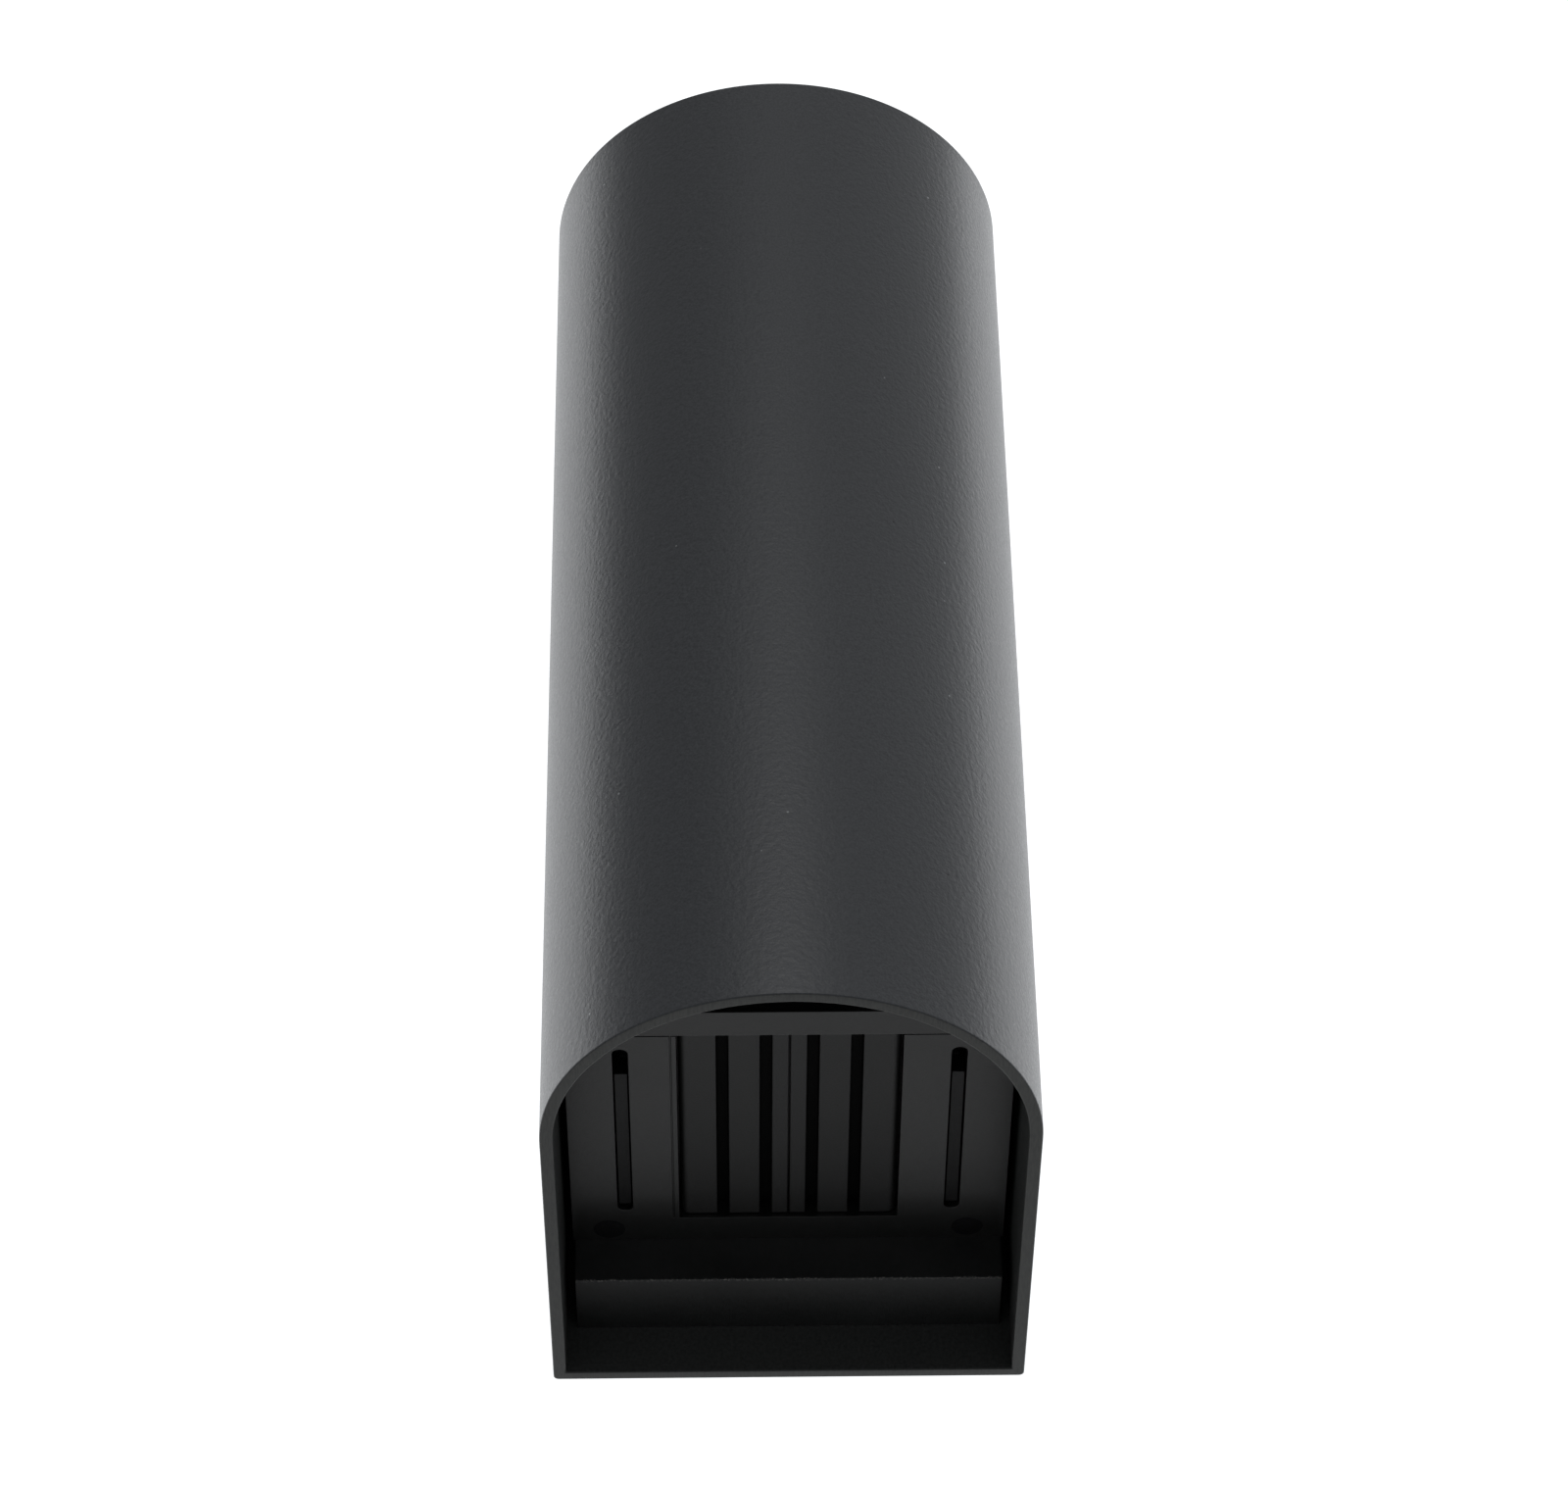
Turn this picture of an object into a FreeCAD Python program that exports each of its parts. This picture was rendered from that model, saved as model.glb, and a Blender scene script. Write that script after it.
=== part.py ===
"""Tube wall light: an up-and-down wall lamp in a D-section aluminium tube, in millimetres.

X runs to the right, +Y into the wall and +Z up along the tube. The origin is the middle of the back, on the wall.
The back of the lamp is the plane y = 0, so a distance out from the wall is minus y.
"""
import FreeCAD, Part
import os
import Sketcher

doc = FreeCAD.newDocument("TubeWallLight")
sheet = doc.addObject("Spreadsheet::Sheet", "Sizes")
nodes = []
LOWER, UPPER = -1, 1
LEFT, RIGHT = -1, 1
ENDS = {"lower": LOWER, "upper": UPPER}
SIDES = {"left": LEFT, "right": RIGHT}
FIN_COUNT = 6
GROOVES = 2
TERMINALS = (-1, 0, 1)
PAN_HEAD = 1.8  # a pan head is this many times as wide as its thread
INWARDS = {LEFT: "+x", RIGHT: "-x"}
TURNS = {
    "+x": ((0, 1, 0), 90),
    "-x": ((0, 1, 0), -90),
    "+y": ((1, 0, 0), -90),
    "-y": ((1, 0, 0), 90),
    "+z": ((0, 0, 1), 0),
    "-z": ((1, 0, 0), 180),
}


# ---------------------------------------------------------------- sizes that live in the sheet
def number(size):
    return size.value if isinstance(size, Size) else float(size)


def words(size):
    return size.text if isinstance(size, Size) else repr(float(size))


class Size:
    """A length known both as a number and as the sheet expression that gives it."""

    def __init__(self, value, text):
        self.value = value
        self.text = text

    def __add__(self, other):
        return Size(self.value + number(other), f"({self.text} + {words(other)})")

    def __sub__(self, other):
        return Size(self.value - number(other), f"({self.text} - {words(other)})")

    def __mul__(self, factor):
        return Size(self.value * factor, f"({self.text} * {float(factor)!r})")

    def __truediv__(self, factor):
        return Size(self.value / factor, f"({self.text} / {float(factor)!r})")

    def __neg__(self):
        return self * -1


def size(name, value):
    """Writes a driving dimension into the next row of the sheet and gives it back as a Size."""
    row = size.rows = getattr(size, "rows", 0) + 1
    sheet.set(f"A{row}", name)
    sheet.set(f"B{row}", str(value))
    sheet.setAlias(f"B{row}", name)
    return Size(float(value), f"Sizes.{name}")


nowhere = Size(0, "0")

# the tube
tube_width = size("tube_width", 90)
tube_depth = size("tube_depth", 125)
tube_length = size("tube_length", 225)
tube_wall = size("tube_wall", 2.5)
tube_corner = size("tube_corner", 1)
window_gap = size("window_gap", 0.3)
# the base box and the wall plate inside it
base_setback = size("base_setback", 10)
base_side_gap = size("base_side_gap", 2)
base_depth = size("base_depth", 19.2)
base_wall = size("base_wall", 2)
plate_thickness = size("plate_thickness", 2.5)
plate_gap = size("plate_gap", 0.5)
ear_length = size("ear_length", 24)
ear_height = size("ear_height", 11)
ear_thickness = size("ear_thickness", 3)
wall_slot_spacing = size("wall_slot_spacing", 120)
wall_slot_width = size("wall_slot_width", 5)
wall_slot_length = size("wall_slot_length", 14)
seal_inset = size("seal_inset", 2)
seal_width = size("seal_width", 2.5)
seal_depth = size("seal_depth", 1.5)
# the cable entry, the terminal block and the driver
gland_drop = size("gland_drop", 25)
gland_bore_radius = size("gland_bore_radius", 4)
gland_neck_radius = size("gland_neck_radius", 7)
gland_flange_radius = size("gland_flange_radius", 10)
gland_flange_thickness = size("gland_flange_thickness", 2)
gland_nozzle_length = size("gland_nozzle_length", 4)
gland_nozzle_wall = size("gland_nozzle_wall", 1.2)
terminal_drop = size("terminal_drop", 45)
terminal_width = size("terminal_width", 36)
terminal_height = size("terminal_height", 11.5)
terminal_length = size("terminal_length", 12)
terminal_pitch = size("terminal_pitch", 11)
terminal_port_radius = size("terminal_port_radius", 1.8)
terminal_screw_radius = size("terminal_screw_radius", 2)
terminal_screw_sink = size("terminal_screw_sink", 1)
driver_rise = size("driver_rise", 4)
driver_margin = size("driver_margin", 4)
driver_length = size("driver_length", 44)
driver_height = size("driver_height", 12.5)
driver_ear_width = size("driver_ear_width", 9)
driver_ear_thickness = size("driver_ear_thickness", 2)
# the end frames
frame_setback = size("frame_setback", 19.2)
frame_thickness = size("frame_thickness", 5)
frame_side_gap = size("frame_side_gap", 1.5)
front_room = size("front_room", 32.1)
lip_height = size("lip_height", 7.3)
bay_width = size("bay_width", 41.2)
slot_width = size("slot_width", 2.9)
slot_low = size("slot_low", 10)
slot_high = size("slot_high", 4.2)
strip_width = size("strip_width", 0.9)
line_width = size("line_width", 0.3)
line_depth = size("line_depth", 0.5)
header_gap = size("header_gap", 0.3)
ledge_width = size("ledge_width", 1.2)
ledge_thickness = size("ledge_thickness", 0.5)
stop_width = size("stop_width", 2.4)
# the lamp core and its cover
core_width = size("core_width", 56)
fin_inset = size("fin_inset", 3)
sink_web = size("sink_web", 3)
fin_thickness = size("fin_thickness", 2.4)
foot_height = size("foot_height", 9.8)
chamber_width = size("chamber_width", 42)
head_length = size("head_length", 34.3)
chamber_roof = size("chamber_roof", 6.7)
rib_width = size("rib_width", 2.4)
rib_room = size("rib_room", 9.1)
rib_recess = size("rib_recess", 1)
rib_gap = size("rib_gap", 0.8)
cover_side_gap = size("cover_side_gap", 2.5)
cover_thickness = size("cover_thickness", 7)
cover_chamfer = size("cover_chamfer", 1)
# the beam flaps and their pins
flap_thickness = size("flap_thickness", 3.6)
flap_recess = size("flap_recess", 0.8)
flap_seam = size("flap_seam", 0.3)
flap_side_gap = size("flap_side_gap", 0.25)
flap_end_gap = size("flap_end_gap", 0.3)
groove_first = size("groove_first", 4.3)
groove_pitch = size("groove_pitch", 8)
groove_width = size("groove_width", 2.2)
groove_depth = size("groove_depth", 2.8)
pin_radius = size("pin_radius", 1)
pin_seat = size("pin_seat", 5)
running_gap = size("running_gap", 0.05)
# the light engine behind each pair of flaps
glass_radius = size("glass_radius", 21.7)
glass_thickness = size("glass_thickness", 2.5)
glass_gap = size("glass_gap", 0.3)
optic_radius = size("optic_radius", 19)
optic_depth = size("optic_depth", 25.5)
optic_gap = size("optic_gap", 0.3)
wire_hole_radius = size("wire_hole_radius", 2)
wire_hole_offset = size("wire_hole_offset", 9)
gasket_thickness = size("gasket_thickness", 1.2)
reflector_wall = size("reflector_wall", 0.8)
reflector_throat = size("reflector_throat", 6.8)
board_radius = size("board_radius", 17)
board_thickness = size("board_thickness", 1.6)
emitter_radius = size("emitter_radius", 6)
emitter_thickness = size("emitter_thickness", 1.2)
phosphor_radius = size("phosphor_radius", 4.6)
phosphor_thickness = size("phosphor_thickness", 0.4)
# fasteners: shank radius, and the head as shares of it where it isn't given
lock_screw_radius = size("lock_screw_radius", 2)
lock_head_radius = size("lock_head_radius", 3.5)
lock_head_thickness = size("lock_head_thickness", 1.5)
lock_pad_radius = size("lock_pad_radius", 6)
lock_height = size("lock_height", 9)
core_screw_radius = size("core_screw_radius", 2)
core_screw_inset = size("core_screw_inset", 9)
core_screw_bite = size("core_screw_bite", 10)
cover_screw_radius = size("cover_screw_radius", 1.5)
cover_screw_spacing = size("cover_screw_spacing", 140)
cover_screw_bite = size("cover_screw_bite", 8)
frame_screw_radius = size("frame_screw_radius", 1.5)
frame_screw_inset = size("frame_screw_inset", 7)
frame_screw_bite = size("frame_screw_bite", 8)
sink_screw_radius = size("sink_screw_radius", 1.5)
sink_screw_spacing = size("sink_screw_spacing", 140)
sink_screw_bite = size("sink_screw_bite", 5)
board_screw_radius = size("board_screw_radius", 1.25)
board_screw_offset = size("board_screw_offset", 12)
board_screw_bite = size("board_screw_bite", 4)
earth_screw_radius = size("earth_screw_radius", 2)
earth_screw_inset = size("earth_screw_inset", 9)
small_screw_bite = size("small_screw_bite", 1.8)
screw_gap = size("screw_gap", 0.15)

# places worked out from the sizes
half_length = tube_length / 2
side_inside = tube_width / 2 - tube_wall
base_width = (side_inside - base_side_gap) * 2
frame_width = (side_inside - frame_side_gap) * 2
cover_width = (side_inside - cover_side_gap) * 2
frame_height = tube_depth - base_depth - cover_thickness - front_room
base_end = half_length - base_setback
frame_face = half_length - frame_setback
core_end = frame_face - frame_thickness
chamber_length = (core_end - head_length) * 2
core_screw_spacing = chamber_length - core_screw_inset * 2
fin_reach = frame_width / 2 - fin_inset
fin_pitch = (frame_height - foot_height) / FIN_COUNT
web_face = core_width / 2 + sink_web
frame_out = base_depth
bay_out = base_depth + lip_height
cover_out = base_depth + frame_height
cover_front = cover_out + cover_thickness
bay_middle = (bay_out + cover_out) / 2
hinge_x = bay_width / 2 - flap_side_gap - flap_thickness / 2
hinge_z = frame_face - flap_recess - flap_thickness / 2
plate_half_width = base_width / 2 - base_wall - plate_gap
plate_half_length = base_end - base_wall - plate_gap
base_roof = base_depth - base_wall
slot_out = base_depth + slot_low
slot_length = frame_height - slot_low - slot_high
cheek_out = cover_out - header_gap
slot_offset = (frame_width + bay_width) / 4
rib_out = slot_out + rib_gap
rib_length = slot_length - rib_gap - rib_room
frame_screw_offset = frame_width / 2 - frame_screw_inset
frame_screw_out = frame_out + lip_height / 2
sink_screw_out = frame_out + foot_height + fin_pitch * 3 - (fin_pitch + fin_thickness) / 2
driver_width = (plate_half_width - driver_ear_width - driver_margin) * 2
driver_middle = driver_rise + driver_length / 2
driver_screw_x = driver_width / 2 + driver_ear_width / 2
earth_x = plate_half_width - earth_screw_inset
rail_x = core_width / 4 + chamber_width / 4


# ---------------------------------------------------------------- drawing helpers
def bind(thing, path, length):
    """Sets one property from a Size, so that it follows the sheet."""
    thing.setExpression(path, words(length))


def place(thing, at, turn="+z"):
    axis, angle = TURNS[turn]
    rotation = FreeCAD.Rotation(FreeCAD.Vector(*axis), angle)
    thing.Placement = FreeCAD.Placement(FreeCAD.Vector(*[number(a) for a in at]), rotation)
    for letter, coordinate in zip("xyz", at):
        if isinstance(coordinate, Size):
            bind(thing, f"Placement.Base.{letter}", coordinate)


def unique(name):
    """An internal name that no object of the document has yet."""
    unique.count = getattr(unique, "count", 0) + 1
    return f"{name}_{unique.count}"


def fill_box(thing, spans):
    """Gives a box primitive its three spans, each a low and a high place."""
    ordered = [sorted(span, key=number) for span in spans]
    for path, (low, high) in zip(("Length", "Width", "Height"), ordered):
        bind(thing, path, extent(low, high))
    place(thing, [low for low, _ in ordered])
    return thing


def extent(low, high):
    return high - low if isinstance(high, Size) else -(low - high)


def between(first, second):
    """Two places in rising order, as a box wants them."""
    return (first, second) if number(first) < number(second) else (second, first)


def fill_cylinder(thing, radius, length, at, turn):
    bind(thing, "Radius", radius)
    bind(thing, "Height", length)
    place(thing, at, turn)
    return thing


def box(spans):
    return fill_box(doc.addObject("Part::Box", unique("box")), spans)


def cylinder(radius, length, at, turn):
    return fill_cylinder(doc.addObject("Part::Cylinder", unique("cylinder")), radius, length, at, turn)


def cone(near_radius, far_radius, length, at, turn):
    thing = doc.addObject("Part::Cone", unique("cone"))
    bind(thing, "Radius1", near_radius)
    bind(thing, "Radius2", far_radius)
    bind(thing, "Height", length)
    place(thing, at, turn)
    return thing


def fuse(*things):
    joined = doc.addObject("Part::MultiFuse", unique("fuse"))
    joined.Shapes = list(things)
    return joined


def cut(base, *tools):
    carved = doc.addObject("Part::Cut", unique("cut"))
    carved.Base = base
    carved.Tool = tools[0] if len(tools) == 1 else fuse(*tools)
    return carved


def group(things):
    """Separate solids that share one node."""
    together = doc.addObject("Part::Compound", unique("group"))
    together.Links = list(things)
    return together


def node(label, thing):
    """Names a finished piece: the label is its file's name."""
    thing.Label = label
    nodes.append(thing)
    return thing


def new_body(label):
    return node(label, doc.addObject("PartDesign::Body", unique("body")))


def origin_plane(body, role):
    return [feature for feature in body.Origin.OriginFeatures if feature.Role == role][0]


def sketch_on(body, role, shift=(0, 0, 0)):
    """A sketch on one of the body's own planes, moved by shift in the sketch's own directions."""
    sketch = body.newObject("Sketcher::SketchObject", unique("sketch"))
    sketch.AttachmentSupport = [(origin_plane(body, role), "")]
    sketch.MapMode = "FlatFace"
    offset = FreeCAD.Vector(*[number(s) for s in shift])
    sketch.AttachmentOffset = FreeCAD.Placement(offset, FreeCAD.Rotation())
    for letter, coordinate in zip("xyz", shift):
        if isinstance(coordinate, Size):
            bind(sketch, f"AttachmentOffset.Base.{letter}", coordinate)
    return sketch


def pin_down(sketch, piece, point, at):
    """Fixes a point of the sketch at two Sizes, measured from the sketch's origin."""
    for kind, axis, coordinate in (("DistanceX", -2, at[0]), ("DistanceY", -1, at[1])):
        if coordinate is None:
            continue
        if number(coordinate) == 0:
            sketch.addConstraint(Sketcher.Constraint("PointOnObject", piece, point, axis))
            continue
        if number(coordinate) > 0:
            ends = (-1, 1, piece, point)
            reach = coordinate
        else:
            ends = (piece, point, -1, 1)
            reach = -coordinate
        index = sketch.addConstraint(Sketcher.Constraint(kind, *ends, number(reach)))
        if isinstance(reach, Size):
            name = unique("place")
            sketch.renameConstraint(index, name)
            bind(sketch, f"Constraints.{name}", reach)


def flat(at):
    return FreeCAD.Vector(number(at[0]), number(at[1]), 0)


def outline(sketch, steps):
    """A closed line of straight runs and arcs. Each step is a corner, or (middle, end, centre) for an arc to end."""
    first = sketch.GeometryCount
    here = steps[-1] if len(steps[-1]) == 2 else steps[-1][1]
    turned_over = []
    for step in steps:
        if len(step) == 2:
            sketch.addGeometry(Part.LineSegment(flat(here), flat(step)), False)
            turned_over.append(False)
            here = step
        else:
            middle, end, _ = step
            piece = sketch.addGeometry(Part.Arc(flat(here), flat(middle), flat(end)), False)
            turned_over.append(sketch.getPoint(piece, 1).distanceToPoint(flat(here)) > 1e-6)
            here = end
    for offset, step in enumerate(steps):
        following = (offset + 1) % len(steps)
        piece = first + offset
        end_point = 1 if turned_over[offset] else 2
        start_point = 2 if turned_over[following] else 1
        sketch.addConstraint(Sketcher.Constraint("Coincident", piece, end_point, first + following, start_point))
        if len(step) == 2:
            pin_down(sketch, piece, end_point, step)
        else:
            pin_down(sketch, piece, end_point, step[1])
            pin_down(sketch, piece, 3, step[2])


def rectangle(sketch, half_across, half_up):
    outline(sketch, [(half_across, half_up), (-half_across, half_up),
                     (-half_across, -half_up), (half_across, -half_up)])


def circle(sketch, at, radius):
    piece = sketch.addGeometry(Part.Circle(flat(at), FreeCAD.Vector(0, 0, 1), number(radius)), False)
    pin_down(sketch, piece, 3, at)
    index = sketch.addConstraint(Sketcher.Constraint("Radius", piece, number(radius)))
    name = unique("radius")
    sketch.renameConstraint(index, name)
    bind(sketch, f"Constraints.{name}", radius)


def upright_slot(sketch, across, low, high, width):
    """A slot with round ends that runs up the sketch from low to high."""
    radius = width / 2
    near, far = low + radius, high - radius
    outline(sketch, [
        (across + radius, far),
        ((across, high), (across - radius, far), (None, far)),
        (across - radius, near),
        ((across, low), (across + radius, near), (None, near)),
    ])


def pad(body, sketch, length, both_ways=False):
    feature = body.newObject("PartDesign::Pad", unique("pad"))
    feature.Profile = sketch
    bind(feature, "Length", length)
    feature.SideType = "Symmetric" if both_ways else "One side"
    return feature


def pocket(body, sketch, length, both_ways=False):
    """Cuts along the sketch's own normal, or to both sides of its plane."""
    feature = body.newObject("PartDesign::Pocket", unique("pocket"))
    feature.Profile = sketch
    bind(feature, "Length", length)
    feature.SideType = "Symmetric" if both_ways else "One side"
    feature.Reversed = not both_ways
    return feature


def revolve(body, sketch):
    feature = body.newObject("PartDesign::Revolution", unique("revolution"))
    feature.Profile = sketch
    feature.ReferenceAxis = (sketch, ["V_Axis"])
    feature.Angle = 360
    return feature


def add_box(body, spans):
    return fill_box(body.newObject("PartDesign::AdditiveBox", unique("block")), spans)


def carve_box(body, spans):
    return fill_box(body.newObject("PartDesign::SubtractiveBox", unique("hollow")), spans)


def add_cylinder(body, radius, length, at, turn):
    thing = body.newObject("PartDesign::AdditiveCylinder", unique("boss"))
    return fill_cylinder(thing, radius, length, at, turn)


def drill(body, radius, length, at, turn):
    thing = body.newObject("PartDesign::SubtractiveCylinder", unique("drilling"))
    return fill_cylinder(thing, radius, length, at, turn)


def countersink(body, radius, at, turn):
    """A conical seat that opens to twice the shank's radius at a face; turn points into the material."""
    thing = body.newObject("PartDesign::SubtractiveCone", unique("seat"))
    bind(thing, "Radius1", radius * 2)
    bind(thing, "Radius2", radius)
    bind(thing, "Height", radius)
    place(thing, at, turn)
    return thing


def sunk_screw(radius, length, at, turn):
    """A countersunk screw whose head is flush with the face at at."""
    return fuse(cone(radius * 2, radius, radius, at, turn), cylinder(radius, length, at, turn))


def pan_screw(radius, head_radius, head_thickness, length, under, turn):
    """A pan-head screw: under is the place under its head, and turn points along its shank."""
    back = {"+": "-", "-": "+"}[turn[0]] + turn[1]
    return fuse(cylinder(radius, length, under, turn), cylinder(head_radius, head_thickness, under, back))


def mirrored_spots(across, along):
    """Four places: left and right, lower and upper."""
    return [(across * side, along * end) for end in ENDS.values() for side in SIDES.values()]


# ---------------------------------------------------------------- the tube
def make_tube_shell():
    """The extruded D: a flat back, two straight sides and a half-round front, milled open round the wall plate."""
    body = new_body("tube_shell")
    profile = sketch_on(body, "XY_Plane")
    for inset in (None, tube_wall):
        edge = tube_width / 2 if inset is None else tube_width / 2 - inset
        back = 0 if inset is None else -inset
        side_end = -(tube_depth - tube_width / 2)
        outline(profile, [
            (edge, back),
            (edge, side_end),
            ((0, side_end - edge), (-edge, side_end), (None, side_end)),
            (-edge, back),
        ])
    extrusion = pad(body, profile, tube_length, both_ways=True)
    doc.recompute()
    corners = [
        f"Edge{index}"
        for index, edge in enumerate(extrusion.Shape.Edges, 1)
        if abs(edge.CenterOfMass.y) < 1e-6 and abs(abs(edge.CenterOfMass.x) - tube_width.value / 2) < 1e-6
        and abs(edge.CenterOfMass.z) < 1e-6
    ]
    rounding = body.newObject("PartDesign::Fillet", unique("corner"))
    rounding.Base = (extrusion, corners)
    bind(rounding, "Radius", tube_corner)
    window = sketch_on(body, "XZ_Plane")
    rectangle(window, plate_half_width + window_gap, plate_half_length + window_gap)
    pocket(body, window, tube_wall * 2, both_ways=True)
    for side, turn in INWARDS.items():
        outside = tube_width / 2 * side
        drill(body, lock_screw_radius + screw_gap, tube_wall * 2, (outside, -lock_height, 0), turn)
        drill(body, lock_head_radius + screw_gap, lock_head_thickness, (outside, -lock_height, 0), turn)


# ---------------------------------------------------------------- the base
def make_base_box():
    """The flat box on the inside of the back wall: it closes over the wall plate and carries the lamp core."""
    body = new_body("base_box")
    outside = sketch_on(body, "XZ_Plane", (0, 0, tube_wall))
    rectangle(outside, base_width / 2, base_end)
    pad(body, outside, base_depth - tube_wall)
    inside = sketch_on(body, "XZ_Plane", (0, 0, tube_wall))
    rectangle(inside, base_width / 2 - base_wall, base_end - base_wall)
    pocket(body, inside, base_roof - tube_wall)
    for turn, side in (("+x", RIGHT), ("-x", LEFT)):
        wall = base_width / 2 * side
        add_cylinder(body, lock_pad_radius, side_inside - base_width / 2, (wall, -lock_height, 0), turn)
        drill(body, lock_screw_radius + screw_gap, tube_width / 2,
              (wall - base_wall * side * 2, -lock_height, 0), turn)
    for x, z in mirrored_spots(rail_x, core_screw_spacing / 2):
        drill(body, core_screw_radius + screw_gap, base_wall * 2, (x, -base_roof, z), "-y")
    drill(body, gland_bore_radius, base_wall * 2, (0, -base_roof, 0), "-y")


def make_wall_plate():
    """The aluminium plate that is screwed to the wall and carries everything inside the base."""
    body = new_body("wall_plate")
    face = sketch_on(body, "XZ_Plane")
    rectangle(face, plate_half_width, plate_half_length)
    for end in ENDS.values():
        middle = wall_slot_spacing / 2 * end
        reach = wall_slot_length / 2
        upright_slot(face, nowhere, middle - reach, middle + reach, wall_slot_width)
    circle(face, (0, -gland_drop), gland_neck_radius)
    pad(body, face, plate_thickness)
    for side in SIDES.values():
        drill(body, board_screw_radius, small_screw_bite, (driver_screw_x * side, -plate_thickness, driver_middle), "+y")
    drill(body, earth_screw_radius, small_screw_bite, (earth_x, -plate_thickness, -terminal_drop), "+y")
    groove = sketch_on(body, "XZ_Plane")
    for inset in (seal_inset, seal_inset + seal_width):
        rectangle(groove, plate_half_width - inset, plate_half_length - inset)
    pocket(body, groove, seal_depth)


def make_lock_ears():
    """Two tapped blocks that stand on the wall plate, one each side, for the lock screws."""
    ears = []
    for side, turn in INWARDS.items():
        edge = plate_half_width * side
        inner = (plate_half_width - ear_thickness) * side
        block = box([between(inner, edge), (-ear_height - plate_thickness, -plate_thickness),
                     (-ear_length / 2, ear_length / 2)])
        ears.append(cut(block, cylinder(lock_screw_radius, ear_thickness, (edge, -lock_height, 0), turn)))
    node("lock_ears", group(ears))


def make_wall_seal():
    """The foam cord in the groove round the back of the wall plate."""
    body = new_body("wall_seal")
    ring = sketch_on(body, "XZ_Plane")
    for inset in (seal_inset, seal_inset + seal_width):
        rectangle(ring, plate_half_width - inset, plate_half_length - inset)
    pad(body, ring, seal_depth)


def make_cable_gland():
    """The rubber grommet that the supply cable comes through, with a thin nozzle that grips the sheath."""
    body = new_body("cable_gland")
    profile = sketch_on(body, "XY_Plane", (0, 0, -gland_drop))
    flange_face = -plate_thickness - gland_flange_thickness
    outline(profile, [
        (gland_bore_radius, 0),
        (gland_neck_radius, 0),
        (gland_neck_radius, -plate_thickness),
        (gland_flange_radius, -plate_thickness),
        (gland_flange_radius, flange_face),
        (gland_bore_radius + gland_nozzle_wall * 2, flange_face),
        (gland_bore_radius + gland_nozzle_wall, flange_face - gland_nozzle_length),
        (gland_bore_radius, flange_face - gland_nozzle_length),
    ])
    revolve(body, profile)


def make_terminal_block():
    """Three ways: a wire port right through along Z, and a screw well over each."""
    back = -plate_thickness
    front = back - terminal_height
    low = -terminal_drop - terminal_length / 2
    block = box([(-terminal_width / 2, terminal_width / 2), (front, back), (low, low + terminal_length)])
    tools = []
    screws = []
    for way in TERMINALS:
        x = terminal_pitch * way
        tools.append(cylinder(terminal_port_radius, terminal_length, (x, back - terminal_height / 3, low), "+z"))
        tools.append(cylinder(terminal_screw_radius, terminal_height * 0.6, (x, front, -terminal_drop), "+y"))
        screws.append(cylinder(terminal_screw_radius, terminal_height / 3,
                               (x, front + terminal_screw_sink, -terminal_drop), "+y"))
    node("terminal_block", cut(block, *tools))
    node("terminal_screws", group(screws))


def make_earth_screw():
    head = pan_screw(earth_screw_radius, earth_screw_radius * PAN_HEAD, earth_screw_radius, small_screw_bite,
                     (earth_x, -plate_thickness, -terminal_drop), "+y")
    node("earth_screw", head)


def make_led_driver():
    """The driver: a moulded box on two screw ears."""
    back = -plate_thickness
    across = driver_width / 2
    span = (driver_rise, driver_rise + driver_length)
    case = box([(-across, across), (back - driver_height, back), span])
    ears = box([
        (-across - driver_ear_width, across + driver_ear_width),
        (back - driver_ear_thickness, back),
        (driver_middle - driver_ear_width / 2, driver_middle + driver_ear_width / 2),
    ])
    holes = []
    screws = []
    for side in SIDES.values():
        spot = (driver_screw_x * side, back - driver_ear_thickness, driver_middle)
        holes.append(cylinder(board_screw_radius + screw_gap, driver_ear_thickness, spot, "+y"))
        screws.append(pan_screw(board_screw_radius, board_screw_radius * PAN_HEAD, board_screw_radius,
                                driver_ear_thickness + small_screw_bite, spot, "+y"))
    node("led_driver", cut(fuse(case, ears), *holes))
    node("driver_screws", group(screws))


def make_lock_screws():
    """The two screws in the sides of the tube that hold it, with the base box, on the wall plate's ears."""
    screws = []
    reach = side_inside + tube_wall - lock_head_thickness - (plate_half_width - ear_thickness)
    for side, turn in INWARDS.items():
        under = (tube_width / 2 - lock_head_thickness) * side
        screws.append(pan_screw(lock_screw_radius, lock_head_radius, lock_head_thickness, reach,
                                (under, -lock_height, 0), turn))
    node("lock_screws", group(screws))


# ---------------------------------------------------------------- the lamp core
def make_lamp_core():
    """The middle of the core: a channel of aluminium that makes the chamber for the lead wires."""
    body = new_body("lamp_core")
    section = sketch_on(body, "XY_Plane")
    outer, inner, roof = core_width / 2, chamber_width / 2, cover_out - chamber_roof
    outline(section, [
        (outer, -frame_out), (outer, -cover_out), (-outer, -cover_out), (-outer, -frame_out),
        (-inner, -frame_out), (-inner, -roof), (inner, -roof), (inner, -frame_out),
    ])
    pad(body, section, chamber_length, both_ways=True)
    for x, z in mirrored_spots(rail_x, core_screw_spacing / 2):
        drill(body, core_screw_radius, core_screw_bite, (x, -frame_out, z), "-y")


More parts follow.
